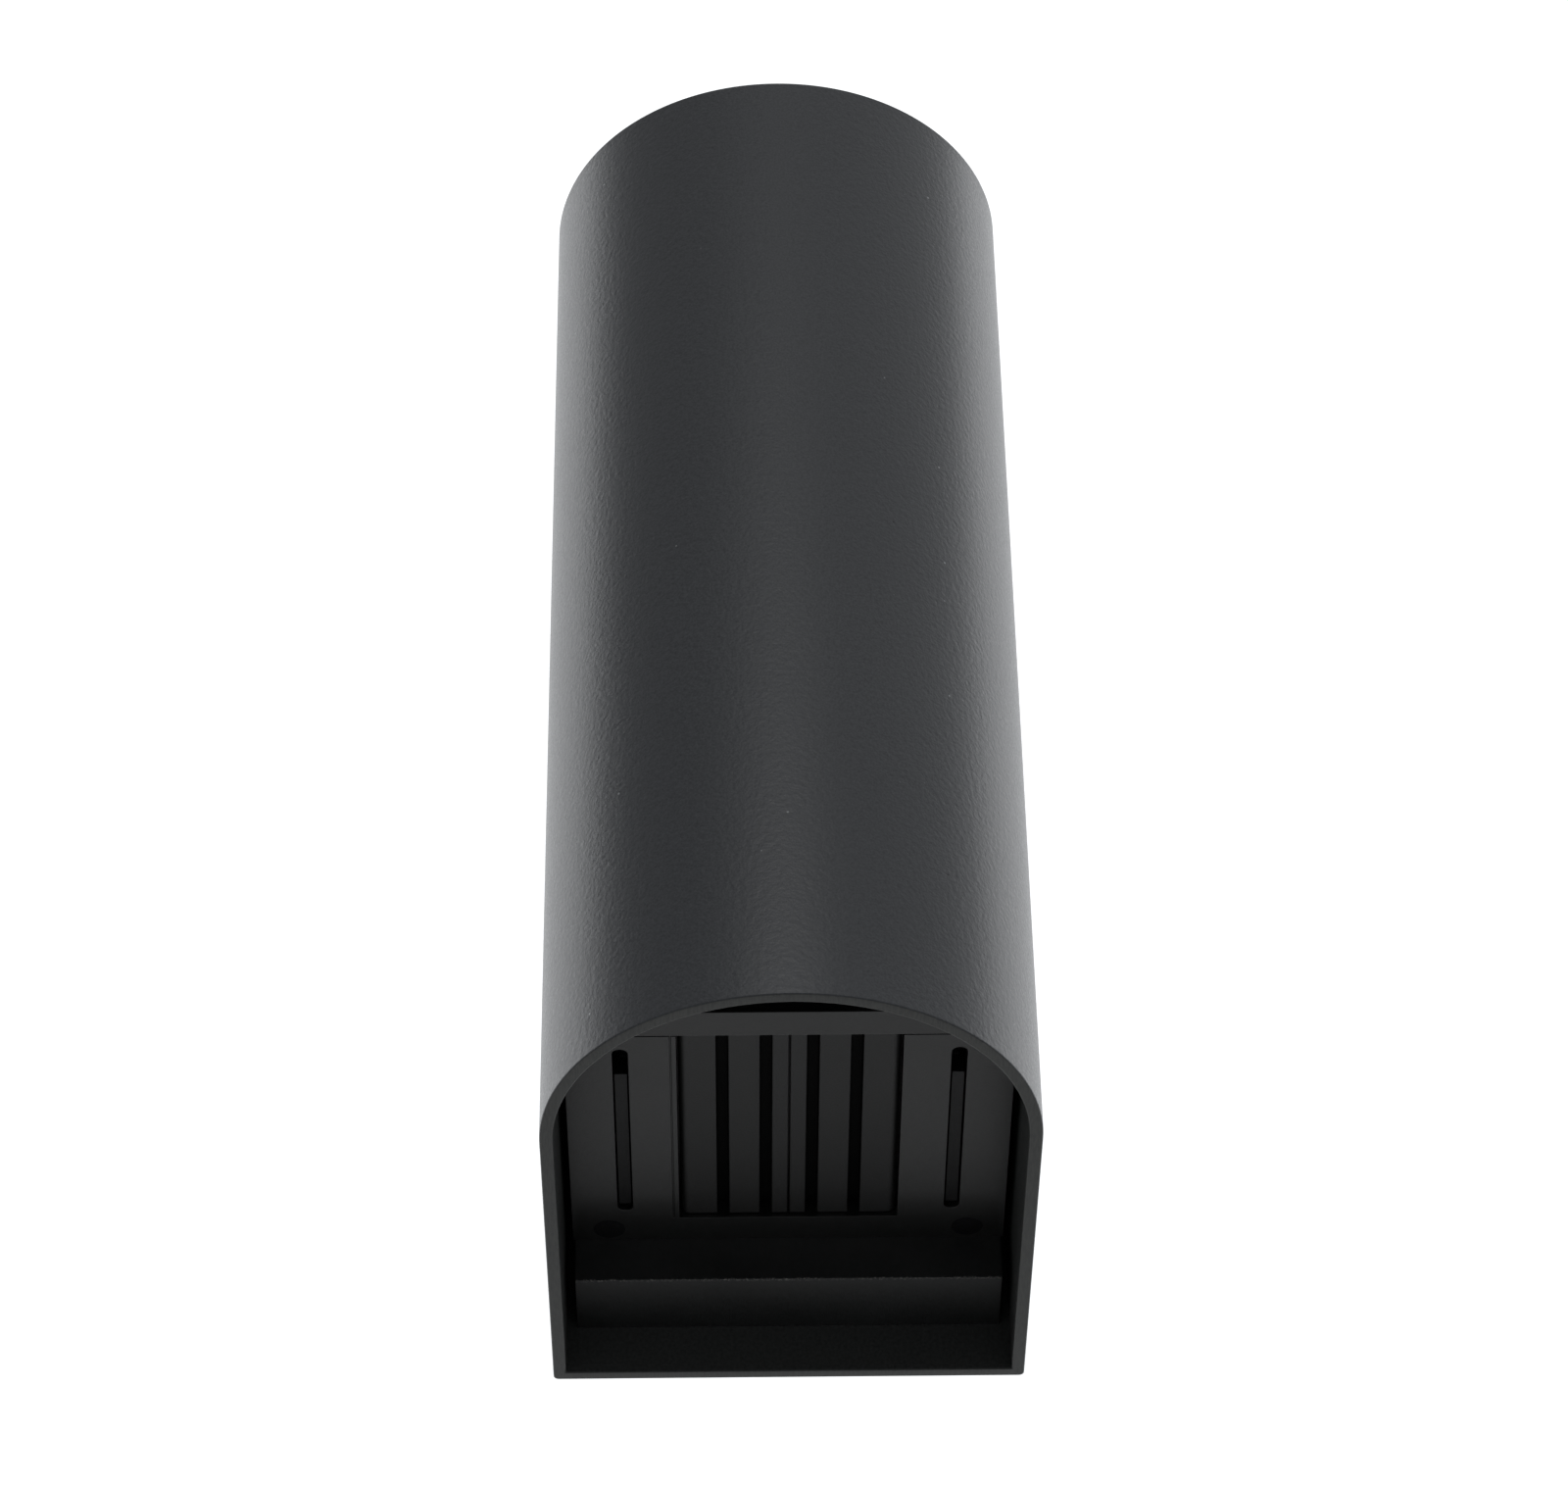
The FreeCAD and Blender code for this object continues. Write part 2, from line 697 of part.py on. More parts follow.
def make_lamp_head(name, end):
    """The block at one end of the core, with a stepped bore for the light engine and a hole for its wires."""
    body = new_body(f"lamp_head_{name}")
    turn = "+z" if end == LOWER else "-z"
    add_box(body, [(-core_width / 2, core_width / 2), (-cover_out, -frame_out),
                   between(chamber_length / 2 * end, core_end * end)])
    mouth = (0, -bay_middle, core_end * end)
    drill(body, optic_radius, optic_depth, mouth, turn)
    drill(body, glass_radius + glass_gap, glass_thickness + gasket_thickness, mouth, turn)
    floor = (core_end - optic_depth) * end
    drill(body, wire_hole_radius, head_length - optic_depth, (0, -(bay_middle - wire_hole_offset), floor), turn)
    for side in SIDES.values():
        drill(body, board_screw_radius, board_screw_bite - board_thickness,
              (board_screw_offset * side, -bay_middle, floor), turn)
        drill(body, sink_screw_radius, sink_screw_bite,
              (core_width / 2 * side, -sink_screw_out, sink_screw_spacing / 2 * end), INWARDS[side])
        drill(body, cover_screw_radius, cover_screw_bite, (rail_x * side, -cover_out, cover_screw_spacing / 2 * end), "+y")


def sink_outline(side):
    """The section of one finned rail: a foot, a web against the core, and fins that reach out from the web."""
    top_of = lambda fin: frame_out + foot_height + fin_pitch * fin
    corners = [(core_width / 2, frame_out), (fin_reach, frame_out), (fin_reach, top_of(0)), (web_face, top_of(0))]
    for fin in range(1, FIN_COUNT + 1):
        corners += [(web_face, top_of(fin) - fin_thickness), (fin_reach, top_of(fin) - fin_thickness),
                    (fin_reach, top_of(fin)), (web_face, top_of(fin))]
    corners[-1] = (core_width / 2, cover_out)
    return [(across * side, -out) for across, out in corners]


def make_heat_sink(name, side):
    """A finned rail along one side of the core. A rib on each end stands in the slot of an end frame."""
    body = new_body(f"heat_sink_{name}")
    section = sketch_on(body, "XY_Plane")
    outline(section, sink_outline(side))
    pad(body, section, core_end * 2, both_ways=True)
    rib = between(slot_offset * side - rib_width / 2, slot_offset * side + rib_width / 2)
    for end, turn in ((LOWER, "+z"), (UPPER, "-z")):
        along = between((core_end - frame_thickness / 2) * end, (frame_face - rib_recess) * end)
        add_box(body, [rib, (-rib_out - rib_length, -rib_out), along])
        drill(body, frame_screw_radius, frame_screw_bite,
              (frame_screw_offset * side, -frame_screw_out, core_end * end), turn)
        spot = (web_face * side, -sink_screw_out, sink_screw_spacing / 2 * end)
        drill(body, sink_screw_radius + screw_gap, sink_web, spot, INWARDS[side])
        countersink(body, sink_screw_radius, spot, INWARDS[side])


def make_sink_screws():
    node("sink_screws", group([
        sunk_screw(sink_screw_radius, sink_web + sink_screw_bite,
                   (web_face * side, -sink_screw_out, sink_screw_spacing / 2 * end), INWARDS[side])
        for side in SIDES.values() for end in ENDS.values()
    ]))


def make_core_cover():
    """The slab along the front of the core: its end is the bar over the flaps, and it holds the pins' upper ends."""
    body = new_body("core_cover")
    section = sketch_on(body, "XY_Plane")
    edge = cover_width / 2
    outline(section, [
        (edge, -cover_out),
        (edge, -(cover_front - cover_chamfer)),
        (edge - cover_chamfer, -cover_front),
        (-(edge - cover_chamfer), -cover_front),
        (-edge, -(cover_front - cover_chamfer)),
        (-edge, -cover_out),
    ])
    pad(body, section, frame_face * 2, both_ways=True)
    for x, z in mirrored_spots(hinge_x, hinge_z):
        drill(body, pin_radius, pin_seat, (x, -cover_out, z), "-y")
    for x, z in mirrored_spots(rail_x, cover_screw_spacing / 2):
        drill(body, cover_screw_radius + screw_gap, cover_thickness, (x, -cover_out, z), "-y")
        countersink(body, cover_screw_radius, (x, -cover_front, z), "+y")


def make_core_screws():
    under = [(x, -base_roof, z) for x, z in mirrored_spots(rail_x, core_screw_spacing / 2)]
    node("core_screws", group([
        pan_screw(core_screw_radius, core_screw_radius * PAN_HEAD, core_screw_radius,
                  base_wall + core_screw_bite, spot, "-y") for spot in under
    ]))
    flush = [(x, -cover_front, z) for x, z in mirrored_spots(rail_x, cover_screw_spacing / 2)]
    node("cover_screws", group([
        sunk_screw(cover_screw_radius, cover_thickness + cover_screw_bite, spot, "+y") for spot in flush
    ]))


# ---------------------------------------------------------------- one end: frame, flaps and light engine
def make_end_frame(name, end):
    """The frame behind a mouth: a lip at the base and two slotted cheeks, round the bay that the flaps close."""
    body = new_body(f"end_frame_{name}")
    low = -frame_face if end == LOWER else core_end
    face = sketch_on(body, "XY_Plane", (0, 0, low))
    edge, jamb = frame_width / 2, bay_width / 2
    outline(face, [
        (edge, -frame_out), (edge, -cheek_out), (jamb, -cheek_out), (jamb, -bay_out),
        (-jamb, -bay_out), (-jamb, -cheek_out), (-edge, -cheek_out), (-edge, -frame_out),
    ])
    for side in SIDES.values():
        upright_slot(face, slot_offset * side, -(slot_out + slot_length), -slot_out, slot_width)
    pad(body, face, frame_thickness)
    inwards = "+z" if end == LOWER else "-z"
    behind = between(core_end * end, (core_end + ledge_thickness) * end)
    for across in ((-jamb, -(jamb - ledge_width)), (jamb - ledge_width, jamb), (-stop_width / 2, stop_width / 2)):
        add_box(body, [across, (-cheek_out, -bay_out), behind])
    strip = bay_width / 2 + strip_width
    carve_box(body, [(-strip - line_width, -strip), (-cover_out, -bay_out),
                     between((frame_face - line_depth) * end, frame_face * end)])
    for side in SIDES.values():
        drill(body, pin_radius, pin_seat, (hinge_x * side, -bay_out, hinge_z * end), "+y")
        spot = (frame_screw_offset * side, -frame_screw_out, frame_face * end)
        drill(body, frame_screw_radius + screw_gap, frame_thickness, spot, inwards)
        countersink(body, frame_screw_radius, spot, inwards)
    node(f"end_frame_screws_{name}", group([
        sunk_screw(frame_screw_radius, frame_thickness + frame_screw_bite,
                   (frame_screw_offset * side, -frame_screw_out, frame_face * end), inwards)
        for side in SIDES.values()
    ]))


def make_flap(end_name, end, side_name, side):
    """One leaf of a beam flap: grooved outside, with a barrel along its outer edge that turns on a steel pin."""
    body = new_body(f"beam_flap_{end_name}_{side_name}")
    section = sketch_on(body, "XZ_Plane", (0, 0, bay_out + flap_end_gap))
    outer = (hinge_z + flap_thickness / 2) * end
    inner = (hinge_z - flap_thickness / 2) * end
    bottom = outer - groove_depth * end
    steps = [
        (flap_seam / 2 * side, inner),
        (hinge_x * side, inner),
        (((hinge_x + flap_thickness / 2) * side, hinge_z * end), (hinge_x * side, outer), (hinge_x * side, None)),
    ]
    for count in reversed(range(GROOVES)):
        middle = groove_first + groove_pitch * count
        far = (middle + groove_width / 2) * side
        near = (middle - groove_width / 2) * side
        steps += [(far, outer), (far, bottom), (near, bottom), (near, outer)]
    steps.append((flap_seam / 2 * side, outer))
    outline(section, steps)
    circle(section, (hinge_x * side, hinge_z * end), pin_radius + running_gap)
    pad(body, section, cover_out - bay_out - flap_end_gap * 2)
    pin_start = (hinge_x * side, -(bay_out - pin_seat), hinge_z * end)
    pin_length = cover_out - bay_out + pin_seat * 2
    node(f"flap_pin_{end_name}_{side_name}", cylinder(pin_radius, pin_length, pin_start, "-y"))


def make_light_engine(name, end):
    """What shines out of one end: glass on its gasket, reflector, LED board and emitter, stacked in the core's bore."""
    inwards, outwards = ("+z", "-z") if end == LOWER else ("-z", "+z")
    glass_back = core_end - glass_thickness
    gasket_back = glass_back - gasket_thickness
    board_back = core_end - optic_depth
    board_face = board_back + board_thickness
    node(f"window_glass_{name}", cylinder(glass_radius, glass_thickness, (0, -bay_middle, core_end * end), inwards))
    start = (0, -bay_middle, glass_back * end)
    ring = cylinder(glass_radius, gasket_thickness, start, inwards)
    node(f"glass_gasket_{name}", cut(ring, cylinder(optic_radius, gasket_thickness, start, inwards)))

    mirror = new_body(f"reflector_{name}")
    profile = sketch_on(mirror, "YZ_Plane", (-bay_middle, 0, 0))
    rim = optic_radius - optic_gap
    outline(profile, [
        (reflector_throat, board_face * end),
        (reflector_throat + reflector_wall, board_face * end),
        (rim, (gasket_back - reflector_wall) * end),
        (rim, gasket_back * end),
        (rim - reflector_wall, gasket_back * end),
    ])
    revolve(mirror, profile)

    board = cylinder(board_radius, board_thickness, (0, -bay_middle, board_back * end), outwards)
    holes = []
    screws = []
    for side in SIDES.values():
        spot = (board_screw_offset * side, -bay_middle, board_face * end)
        holes.append(cylinder(board_screw_radius + screw_gap, board_thickness, spot, inwards))
        screws.append(pan_screw(board_screw_radius, board_screw_radius * PAN_HEAD, board_screw_radius,
                                board_screw_bite, spot, inwards))
    node(f"led_board_{name}", cut(board, *holes))
    node(f"board_screws_{name}", group(screws))
    seat = (0, -bay_middle, board_face * end)
    top = (0, -bay_middle, (board_face + emitter_thickness) * end)
    node(f"led_emitter_{name}", fuse(
        cylinder(emitter_radius, emitter_thickness, seat, outwards),
        cylinder(phosphor_radius, phosphor_thickness, top, outwards),
    ))


# ---------------------------------------------------------------- build, check and write
doc.recompute()
make_tube_shell()
make_base_box()
make_wall_plate()
make_lock_ears()
make_wall_seal()
make_cable_gland()
make_terminal_block()
make_earth_screw()
make_led_driver()
make_lock_screws()
make_lamp_core()
for end_name, end in ENDS.items():
    make_lamp_head(end_name, end)
for side_name, side in SIDES.items():
    make_heat_sink(side_name, side)
make_sink_screws()
make_core_cover()
make_core_screws()
for end_name, end in ENDS.items():
    make_end_frame(end_name, end)
    for side_name, side in SIDES.items():
        make_flap(end_name, end, side_name, side)
    make_light_engine(end_name, end)
doc.recompute()

for thing in doc.Objects:
    if {"Invalid", "Error"} & set(thing.State):
        raise RuntimeError(f"{thing.Label} failed: {thing.State}")
for sketch in doc.findObjects("Sketcher::SketchObject"):
    if not sketch.FullyConstrained:
        raise RuntimeError(f"{sketch.Label} isn't fully constrained")
for piece in nodes:
    if piece.Shape.isNull() or not piece.Shape.isValid() or not piece.Shape.Solids:
        raise RuntimeError(f"{piece.Label} has no valid solid")

os.makedirs("parts", exist_ok=True)
for piece in nodes:
    piece.Shape.exportStep(f"parts/{piece.Label}.step")
    box_of = piece.Shape.BoundBox
    print(f"{piece.Label:26s} {len(piece.Shape.Solids)} solid(s)  {piece.Shape.Volume / 1000:8.2f} cm3  "
          f"x {box_of.XMin:.1f}..{box_of.XMax:.1f}  y {box_of.YMin:.1f}..{box_of.YMax:.1f}  "
          f"z {box_of.ZMin:.1f}..{box_of.ZMax:.1f}")
print(len(nodes), "nodes")
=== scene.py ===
# %% [markdown]
# # A tube wall light
# The lamp is a D-shaped aluminium tube that hangs on a wall and shines up and down. This notebook
# dresses its construction model: it gives every solid a finish, remakes the pieces whose edges
# catch the light, and sets up a pale studio with the camera in front of the lower mouth and below
# it. All lengths are in metres, as the frame gives them, with +Y into the wall and +Z up.

# %% Load the construction frame
import math

import bmesh
import bpy
from mathutils import Matrix, Vector


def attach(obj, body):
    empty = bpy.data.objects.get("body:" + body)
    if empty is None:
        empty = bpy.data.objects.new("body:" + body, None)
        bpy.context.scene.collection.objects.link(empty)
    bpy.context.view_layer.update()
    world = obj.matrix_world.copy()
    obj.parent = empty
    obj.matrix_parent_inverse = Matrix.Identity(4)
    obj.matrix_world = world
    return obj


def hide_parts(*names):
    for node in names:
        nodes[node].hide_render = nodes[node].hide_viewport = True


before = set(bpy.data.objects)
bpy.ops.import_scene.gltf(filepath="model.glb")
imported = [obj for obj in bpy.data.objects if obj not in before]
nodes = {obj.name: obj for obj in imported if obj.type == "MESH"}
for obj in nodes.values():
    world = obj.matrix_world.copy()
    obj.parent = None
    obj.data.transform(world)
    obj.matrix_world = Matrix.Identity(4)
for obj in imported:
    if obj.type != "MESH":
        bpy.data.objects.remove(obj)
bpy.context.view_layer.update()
MM = 0.001

# %% [markdown]
# A finish needs the same few shader nodes again and again: noise that reads the object's own
# coordinates, a ramp that turns noise into two tones, and a bump. They could be wired by hand in
# the shader editor. One small class that adds and wires them keeps each recipe short enough to
# read as a recipe, and the light of the room, which is a node tree as well, can use it too.

# %% A helper that wires nodes
class Wiring:
    """A node tree: each call adds a node that is wired to what it is given."""

    def __init__(self, tree):
        self.tree = tree

    def plug(self, socket, value):
        """Links a socket or sets its value. A colour is given as three numbers."""
        if isinstance(value, bpy.types.NodeSocket):
            self.tree.links.new(value, socket)
        else:
            socket.default_value = (*value, 1.0) if isinstance(value, tuple) else value

    def add(self, kind, **sockets):
        node = self.tree.nodes.new(kind)
        for name, value in sockets.items():
            self.plug(node.inputs[name.replace("_", " ")], value)
        return node

    def ramp(self, source, low, high, from_value, to_value):
        """Maps a grey value to a range of values, as for roughness or a mask."""
        node = self.add("ShaderNodeMapRange", Value=source, From_Min=low, From_Max=high,
                        To_Min=from_value, To_Max=to_value)
        return node.outputs["Result"]

    def times(self, first, second):
        node = self.add("ShaderNodeMath")
        node.operation = "MULTIPLY"
        self.plug(node.inputs[0], first)
        self.plug(node.inputs[1], second)
        return node.outputs["Value"]

    def size_of(self, value):
        """The value without its sign."""
        node = self.add("ShaderNodeMath", Value=value)
        node.operation = "ABSOLUTE"
        return node.outputs["Value"]

    def parts_of(self, vector):
        """The X, Y and Z of a vector."""
        return self.add("ShaderNodeSeparateXYZ", Vector=vector).outputs

    def by_eye(self, lit, seen):
        """One level for the light that falls on the lamp and another for what the camera sees."""
        eye = self.add("ShaderNodeLightPath").outputs["Is Camera Ray"]
        return self.add("ShaderNodeMix", Factor=eye, A=lit, B=seen).outputs["Result"]


# %% A helper for materials
finishes = {}


class Finish(Wiring):
    """One material, kept in finishes under its name."""

    def __init__(self, name, roughness, metallic=0.0):
        self.name = name
        self.material = bpy.data.materials.new(name)
        self.material.use_nodes = True
        super().__init__(self.material.node_tree)
        self.shader = self.tree.nodes["Principled BSDF"]
        self.shader.inputs["Roughness"].default_value = roughness
        self.shader.inputs["Metallic"].default_value = metallic
        self.place = self.tree.nodes.new("ShaderNodeTexCoord").outputs["Object"]
        finishes[name] = self.material

    def noise(self, scale, detail=3.0, place=None):
        where = place or self.place
        node = self.add("ShaderNodeTexNoise", Vector=where, Scale=scale, Detail=detail)
        return node.outputs["Fac"]

    def stretched(self, x, y, z):
        """The place with each axis scaled, which draws noise out into lines."""
        mapping = self.add("ShaderNodeMapping", Vector=self.place)
        mapping.inputs["Scale"].default_value = (x, y, z)
        return mapping.outputs["Vector"]

    def blend(self, fac, first, second):
        """Mixes two colours. A Mix node has them in its sockets 6 and 7, and the result in 2."""
        node = self.add("ShaderNodeMix")
        node.data_type = "RGBA"
        for socket, value in ((0, fac), (6, first), (7, second)):
            self.plug(node.inputs[socket], value)
        return node.outputs[2]

    def mottled(self, noise, first, second, low=0.3, high=0.7):
        """Two colours in the pattern of a noise, which is stretched to its full range first."""
        return self.blend(self.ramp(noise, low, high, 0.0, 1.0), first, second)

    def bump(self, height, distance, strength=1.0, normal=None):
        node = self.add("ShaderNodeBump", Height=height, Distance=distance, Strength=strength)
        if normal is not None:
            self.plug(node.inputs["Normal"], normal)
        return node.outputs["Normal"]

    def wear(self, **sockets):
        """Gives the shader its colour, roughness and so on."""
        for name, value in sockets.items():
            self.plug(self.shader.inputs[name.replace("_", " ")], value)
        print("finish", self.name, "has", len(self.tree.nodes), "nodes")


# %% [markdown]
# The tube is powder coated in charcoal: a slightly bluish dark grey whose skin is finely pebbled,
# because the powder melts into tiny beads that run together. An image could hold that skin, but it
# would be soft close up, so two sizes of noise make the beads and the softer orange peel under
# them. A few specks of dust lie on it, some pale and some dark: each cell of a Voronoi pattern
# holds one point, and its random colour picks which points are shown.

# %% The charcoal powder coat
coat = Finish("shell_powder_coat", 0.40)
beads = coat.noise(2400.0, 2.0)
peel = coat.noise(950.0, 1.0)
drift = coat.noise(18.0, 2.0)
cells = coat.add("ShaderNodeTexVoronoi", Vector=coat.place, Scale=200.0)
pick = coat.add("ShaderNodeSeparateColor", Color=cells.outputs["Color"]).outputs
speck = coat.ramp(cells.outputs["Distance"], 0.03, 0.055, 1.0, 0.0)
pale = coat.times(speck, coat.ramp(pick["Red"], 0.88, 0.90, 0.0, 1.0))
dark = coat.times(speck, coat.ramp(pick["Green"], 0.88, 0.90, 0.0, 1.0))
tone = coat.mottled(beads, (0.029, 0.031, 0.036), (0.052, 0.056, 0.062))
tone = coat.blend(coat.ramp(drift, 0.35, 0.65, 0.0, 0.25), tone, (0.036, 0.039, 0.045))
tone = coat.blend(dark, tone, (0.006, 0.006, 0.007))
coat.wear(
    Base_Color=coat.blend(pale, tone, (0.26, 0.27, 0.28)),
    Roughness=coat.ramp(beads, 0.3, 0.7, 0.33, 0.46),
    Normal=coat.bump(beads, 0.05 * MM, 0.7, coat.bump(peel, 0.10 * MM, 0.8)),
)

# %% [markdown]
# Inside the tube the coat is made darker and duller than outside, which is painted shade: the
# hollow gets little light. The rims were faced after the tube was sawn, and fine lines run round
# them; their lighter grey is partly painted light, raised for the little light they get from
# below. Both could be thin objects laid on the tube. They are the same piece of metal, though, so
# they are materials for some of its faces.

# %% The darker coat inside, painted shade
# This darker, duller copy of the coat is painted shade for the inside of the tube.
thin = Finish("thin_coat", 0.55)
thin.shader.inputs["Specular IOR Level"].default_value = 0.3
dusting = thin.noise(1600.0, 3.0)
thin.wear(
    Base_Color=thin.mottled(dusting, (0.028, 0.030, 0.029), (0.044, 0.0465, 0.046), 0.35, 0.65),
    Roughness=thin.ramp(dusting, 0.3, 0.7, 0.5, 0.64),
    Normal=thin.bump(dusting, 0.04 * MM, 0.6),
)

# %% The faced rims, their lighter grey partly painted light
# The fine lines are real; the lighter grey is partly painted light, raised for the little light on
# the rims.
rim = Finish("faced_rim", 0.45)
lines = rim.noise(2600.0, 2.0, rim.stretched(1.0, 0.15, 0.3))
rim.wear(
    Base_Color=rim.mottled(lines, (0.046, 0.048, 0.046), (0.070, 0.073, 0.069), 0.35, 0.65),
    Roughness=rim.ramp(lines, 0.3, 0.7, 0.4, 0.52),
    Normal=rim.bump(lines, 0.04 * MM, 0.6),
)

# %% [markdown]
# The pieces inside the mouth are sprayed satin black. Such a paint sends back little but its gloss,
# so its colour is close to nothing and the specular level does the work. One plain black would look
# like plastic, so there is a cloudy tone and a fine grain, and each piece gets its own gloss.

# %% The satin black paints
def satin_black(name, dark, light, roughness, gloss=0.36):
    """A thin black paint on a machined face: near black, a little cloudy, with faint grain."""
    paint = Finish(name, roughness)
    paint.shader.inputs["Specular IOR Level"].default_value = gloss
    cloud = paint.noise(60.0, 3.0)
    grain = paint.noise(3200.0, 2.0)
    paint.wear(
        Base_Color=paint.mottled(cloud, dark, light, 0.35, 0.65),
        Roughness=paint.ramp(grain, 0.3, 0.7, roughness - 0.05, roughness + 0.06),
        Normal=paint.bump(grain, 0.03 * MM, 0.6),
    )


satin_black("frame_black", (0.004, 0.0044, 0.0043), (0.007, 0.0075, 0.0074), 0.34, 1.0)
satin_black("flap_black", (0.0015, 0.0017, 0.0017), (0.003, 0.0032, 0.0032), 0.46, 0.74)
# This matt near black is no paint of the lamp: it is painted shade for the deep grooves of the
# flaps.
satin_black("groove_black", (0.001, 0.001, 0.001), (0.002, 0.002, 0.002), 0.6, 0.1)
satin_black("sink_black", (0.003, 0.003, 0.0034), (0.006, 0.006, 0.0066), 0.40)

# %% [markdown]
# The base is handled most while the lamp is put up, so the paint is chipped along the front edge of
# each end, and specks of bare metal show. The chips could be painted by hand on an image; here two
# ramps on the object's own coordinates find the edge, and two noises break it into a thin row of
# chips.

# %% The chipped paint of the base
BASE_END, BASE_FRONT = 102.5 * MM, 19.2 * MM

paint = Finish("base_black", 0.40)
paint.shader.inputs["Specular IOR Level"].default_value = 0.95
at = paint.parts_of(paint.place)
near_end = paint.ramp(paint.size_of(at["Z"]), BASE_END - 0.40 * MM, BASE_END - 0.12 * MM, 0.0, 1.0)
near_front = paint.ramp(paint.size_of(at["Y"]), BASE_FRONT - 0.75 * MM, BASE_FRONT - 0.20 * MM,
                        0.0, 1.0)
flakes = paint.ramp(paint.noise(2100.0, 4.0), 0.50, 0.60, 0.0, 1.0)
stretches = paint.ramp(paint.noise(160.0, 2.0), 0.38, 0.58, 0.25, 1.0)
chipped = paint.times(paint.times(near_end, near_front), paint.times(flakes, stretches))
cloud = paint.noise(45.0, 3.0)
grain = paint.noise(2600.0, 2.0)
tone = paint.mottled(cloud, (0.009, 0.0098, 0.0098), (0.015, 0.0162, 0.0165), 0.35, 0.65)
paint.wear(
    Base_Color=paint.blend(chipped, tone, (0.24, 0.235, 0.22)),
    Roughness=paint.ramp(grain, 0.3, 0.7, 0.34, 0.46),
    Normal=paint.bump(chipped, 0.08 * MM, 1.0, paint.bump(grain, 0.04 * MM, 0.7)),
)

# %% [markdown]
# The pieces behind the flaps show through the glass, or once the lamp is off its wall: raw extruded
# aluminium with its drawing lines, the bright reflector, screws, rubber, the glass, and the white
# board with its phosphor. A single grey would do from afar. Three short recipes, for metal that was
# drawn, metal that was turned and plastic that was moulded, cost no more and hold up close by.

# %% Drawn and turned metals
def raw_aluminium(name, tone, roughness, across):
    metal = Finish(name, roughness, 1.0)
    lines = metal.noise(900.0, 3.0, metal.stretched(*across))
    cloud = metal.noise(35.0, 3.0)
    metal.wear(
        Base_Color=metal.mottled(lines, tone, tuple(min(1.0, t * 1.12) for t in tone)),
        Roughness=metal.ramp(cloud, 0.3, 0.7, roughness - 0.06, roughness + 0.08),
        Normal=metal.bump(lines, 0.03 * MM, 0.5),
    )


def screw_steel(name, tone, roughness):
    steel = Finish(name, roughness, 1.0)
    lathe = steel.noise(1500.0, 2.0)
    steel.wear(
        Base_Color=steel.mottled(lathe, tone, tuple(t * 0.8 for t in tone)),
        Roughness=steel.ramp(lathe, 0.3, 0.7, roughness - 0.05, roughness + 0.08),
        Normal=steel.bump(lathe, 0.02 * MM, 0.5),
    )


raw_aluminium("bare_aluminium", (0.62, 0.63, 0.65), 0.36, (1.0, 1.0, 0.05))
raw_aluminium("bright_aluminium", (0.86, 0.87, 0.88), 0.14, (1.0, 1.0, 1.0))
screw_steel("steel", (0.60, 0.61, 0.63), 0.28)
screw_steel("black_steel", (0.06, 0.06, 0.065), 0.38)


# %% Rubber, plastics and glass
def moulded(name, tone, roughness, scale=900.0):
    plastic = Finish(name, roughness)
    spark = plastic.noise(scale, 3.0)
    plastic.wear(
        Base_Color=plastic.mottled(spark, tone, tuple(t * 0.88 for t in tone)),
        Roughness=plastic.ramp(spark, 0.3, 0.7, roughness - 0.05, roughness + 0.08),
        Normal=plastic.bump(spark, 0.04 * MM, 0.6),
    )


moulded("rubber", (0.022, 0.022, 0.023), 0.75)
moulded("board_white", (0.78, 0.79, 0.78), 0.35)
moulded("phosphor", (0.86, 0.72, 0.16), 0.5, 1800.0)
moulded("terminal_plastic", (0.74, 0.73, 0.68), 0.45)
moulded("driver_plastic", (0.70, 0.71, 0.72), 0.5)

glass = Finish("clear_glass", 0.03)
glass.shader.inputs["Transmission Weight"].default_value = 1.0
glass.shader.inputs["IOR"].default_value = 1.5
smear = glass.noise(45.0, 3.0)
glass.wear(
    Base_Color=glass.blend(smear, (0.95, 0.97, 0.97), (0.99, 1.0, 1.0)),
    Roughness=glass.ramp(smear, 0.4, 0.7, 0.01, 0.05),
)

# %% [markdown]
# Each solid of the frame comes with a slot that is named after what it is made of. The finishes
# could be given out piece by piece. They have the slots' names instead, so one loop does it, and a
# slot that no finish answers to is printed.

# %% Put the finishes on the solids
unknown = set()
for name, thing in nodes.items():
    for slot in thing.material_slots:
        title = slot.material.name.split(".")[0] if slot.material else ""
        if title in finishes:
            slot.material = finishes[title]
        else:
            unknown.add((name, title))
print("slots without a finish:", sorted(unknown) or "none")

# %% [markdown]
# The tube is an extrusion, so it is made the same way here: the round front of its outline is a
# vertex spun through half a turn, the rest is three straight edges, and the whole line is pushed
# along Z. The back wall is milled open for the wall plate, so its middle is cut out before the skin
# is given its wall. Booleans could do it too, but they leave ragged triangles that spoil a glossy
# skin.

# %% Sizes of the tube
TUBE_HALF_WIDTH, TUBE_DEPTH, TUBE_HALF_LENGTH = 45 * MM, 125 * MM, 112.5 * MM
TUBE_WALL = 2.5 * MM
ARC_Y = -(TUBE_DEPTH - TUBE_HALF_WIDTH)
WINDOW_HALF_WIDTH, WINDOW_HALF_LENGTH = 38.3 * MM, 100.3 * MM
SAME, MERGE = 0.001 * MM, 0.0001 * MM  # how close places are the same, and points are joined
print("the front of the tube is round from", round(ARC_Y / MM, 1), "mm outwards")


# %% Helpers that shape and show a piece
def points_of(made):
    """The vertices among what an operator made."""
    return [v for v in made if isinstance(v, bmesh.types.BMVert)]


